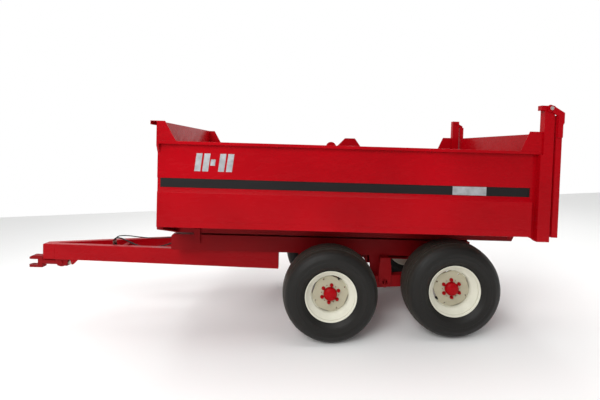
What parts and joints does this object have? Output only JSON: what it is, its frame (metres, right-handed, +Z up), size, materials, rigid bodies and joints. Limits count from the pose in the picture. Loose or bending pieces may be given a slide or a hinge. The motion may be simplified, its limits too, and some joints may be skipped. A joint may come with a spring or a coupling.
{
  "type": "tandem-axle tipping farm trailer",
  "caption": "Tipping farm trailer with a flat-floored body, top-hung tailgate, A-frame drawbar and tandem wheels on walking beams.",
  "frame": {"origin": "centre of the bounding box's footprint, on the ground that the tyres and the parking stand's foot stand on", "axes": "+X to the trailer's rear, +Y to its right-hand side, +Z up; the parked nose is lifted 4 degrees"},
  "size_m": [6.8392, 2.42, 2.6448],
  "materials": {
    "red_paint": "gloss enamel on sheet and tube",
    "rim_paint": "gloss cream enamel",
    "tyre": "dusty tread and sidewall rubber",
    "hose_rubber": "wire-braided hose with a smooth cover",
    "stripe_paint": "satin black",
    "reflective_film": "silver film",
    "machined_steel": "turned, oiled",
    "chromed_rod": "hard-chromed",
    "black_paint": "satin black enamel"
  },
  "bodies": {
    "chassis": {"chassis_beams": "red_paint", "cross_members": "red_paint", "drawbar_rails": "red_paint", "drawbar_nose": "red_paint", "hitch_cheeks": "red_paint", "safety_lug": "red_paint", "bogie_hangers": "red_paint", "pivot_shaft": "red_paint", "ram_cradle": "red_paint", "stand_bracket": "red_paint", "tip_hinge_pins": "machined_steel", "hose_holder": "black_paint", "hose_couplings": "machined_steel", "pressure_hose": "hose_rubber", "return_hose": "hose_rubber"},
    "fork": {"hitch_fork": "red_paint", "fork_nut": "machined_steel"},
    "stand": {"stand_leg": "red_paint"},
    "left_bogie": {"left_walking_beam": "red_paint", "left_stub_axles": "machined_steel"},
    "right_bogie": {"right_walking_beam": "red_paint", "right_stub_axles": "machined_steel"},
    "left_front_wheel": {"left_front_tyre": "tyre", "left_front_rim": "rim_paint", "left_front_hub": "red_paint", "left_front_nuts": "red_paint"},
    "left_rear_wheel": {"left_rear_tyre": "tyre", "left_rear_rim": "rim_paint", "left_rear_hub": "red_paint", "left_rear_nuts": "red_paint"},
    "right_front_wheel": {"right_front_tyre": "tyre", "right_front_rim": "rim_paint", "right_front_hub": "red_paint", "right_front_nuts": "red_paint"},
    "right_rear_wheel": {"right_rear_tyre": "tyre", "right_rear_rim": "rim_paint", "right_rear_hub": "red_paint", "right_rear_nuts": "red_paint"},
    "load_body": {"body_floor": "red_paint", "long_rails": "red_paint", "cross_bearers": "red_paint", "left_side": "red_paint", "right_side": "red_paint", "top_rails": "red_paint", "front_wall": "red_paint", "corner_gussets": "red_paint", "rear_posts": "red_paint", "side_stripes": "stripe_paint", "marker_plates": "reflective_film", "rail_brackets": "red_paint", "ram_cup": "red_paint"},
    "tailgate": {"gate_sheet": "red_paint", "gate_frame": "red_paint", "gate_arms": "red_paint", "gate_strikers": "red_paint"},
    "latch": {"latch_shaft": "red_paint"},
    "barrel": {"ram_barrel": "black_paint"},
    "stage_1": {"ram_stage_1": "chromed_rod"},
    "stage_2": {"ram_stage_2": "chromed_rod"},
    "stage_3": {"ram_stage_3": "chromed_rod"}
  },
  "joints": [
    {"name": "body_tip", "type": "hinge", "parent": "chassis", "child": "load_body", "pos_m": [2.58186, 0, 0.89576], "axis": [0, 1, 0], "range_deg": [0, 46]},
    {"name": "tailgate_swing", "type": "hinge", "parent": "load_body", "child": "tailgate", "pos_m": [3.27219, 0, 2.59674], "axis": [0, -1, 0], "range_deg": [0, 75]},
    {"name": "latch_turn", "type": "hinge", "parent": "load_body", "child": "latch", "pos_m": [3.14701, 0, 1.02164], "axis": [0, 1, 0], "range_deg": [0, 35]},
    {"name": "fork_swivel", "type": "hinge", "parent": "chassis", "child": "fork", "pos_m": [-2.92592, 0, 0.79019], "axis": [-0.9976, 0, 0.0698], "range_deg": [-20, 20]},
    {"name": "stand_fold", "type": "hinge", "parent": "chassis", "child": "stand", "pos_m": [0.45446, 0, 0.86408], "axis": [0, 1, 0], "range_deg": [0, 98]},
    {"name": "left_beam_rock", "type": "hinge", "parent": "chassis", "child": "left_bogie", "pos_m": [1.50581, -0.61, 0.56], "axis": [0, 1, 0], "range_deg": [-8.5, 14]},
    {"name": "right_beam_rock", "type": "hinge", "parent": "chassis", "child": "right_bogie", "pos_m": [1.50581, 0.61, 0.56], "axis": [0, 1, 0], "range_deg": [-8.5, 14]},
    {"name": "left_front_spin", "type": "hinge", "parent": "left_bogie", "child": "left_front_wheel", "pos_m": [0.79581, -0.9, 0.56], "axis": [0, 1, 0], "continuous": true},
    {"name": "left_rear_spin", "type": "hinge", "parent": "left_bogie", "child": "left_rear_wheel", "pos_m": [2.21581, -0.9, 0.56], "axis": [0, 1, 0], "continuous": true},
    {"name": "right_front_spin", "type": "hinge", "parent": "right_bogie", "child": "right_front_wheel", "pos_m": [0.79581, 0.9, 0.56], "axis": [0, 1, 0], "continuous": true},
    {"name": "right_rear_spin", "type": "hinge", "parent": "right_bogie", "child": "right_rear_wheel", "pos_m": [2.21581, 0.9, 0.56], "axis": [0, 1, 0], "continuous": true},
    {"name": "ram_swing", "type": "hinge", "parent": "chassis", "child": "barrel", "pos_m": [0.9312, 0, 0.80067], "axis": [0, 1, 0], "range_deg": [0, 23.32]},
    {"name": "stage_1_slide", "type": "slide", "parent": "barrel", "child": "stage_1", "axis": [0.0698, 0, 0.9976], "range_m": [0, 0.4161]},
    {"name": "stage_2_slide", "type": "slide", "parent": "stage_1", "child": "stage_2", "axis": [0.0698, 0, 0.9976], "range_m": [0, 0.4161]},
    {"name": "stage_3_slide", "type": "slide", "parent": "stage_2", "child": "stage_3", "axis": [0.0698, 0, 0.9976], "range_m": [0, 0.4161]}
  ],
  "couplings": [
    {"joint": "ram_swing", "follows": "body_tip", "ratio": 0.50577},
    {"joint": "stage_1_slide", "follows": "body_tip", "m_per_rad": 0.51759},
    {"joint": "stage_2_slide", "follows": "body_tip", "m_per_rad": 0.51759},
    {"joint": "stage_3_slide", "follows": "body_tip", "m_per_rad": 0.51759}
  ]
}
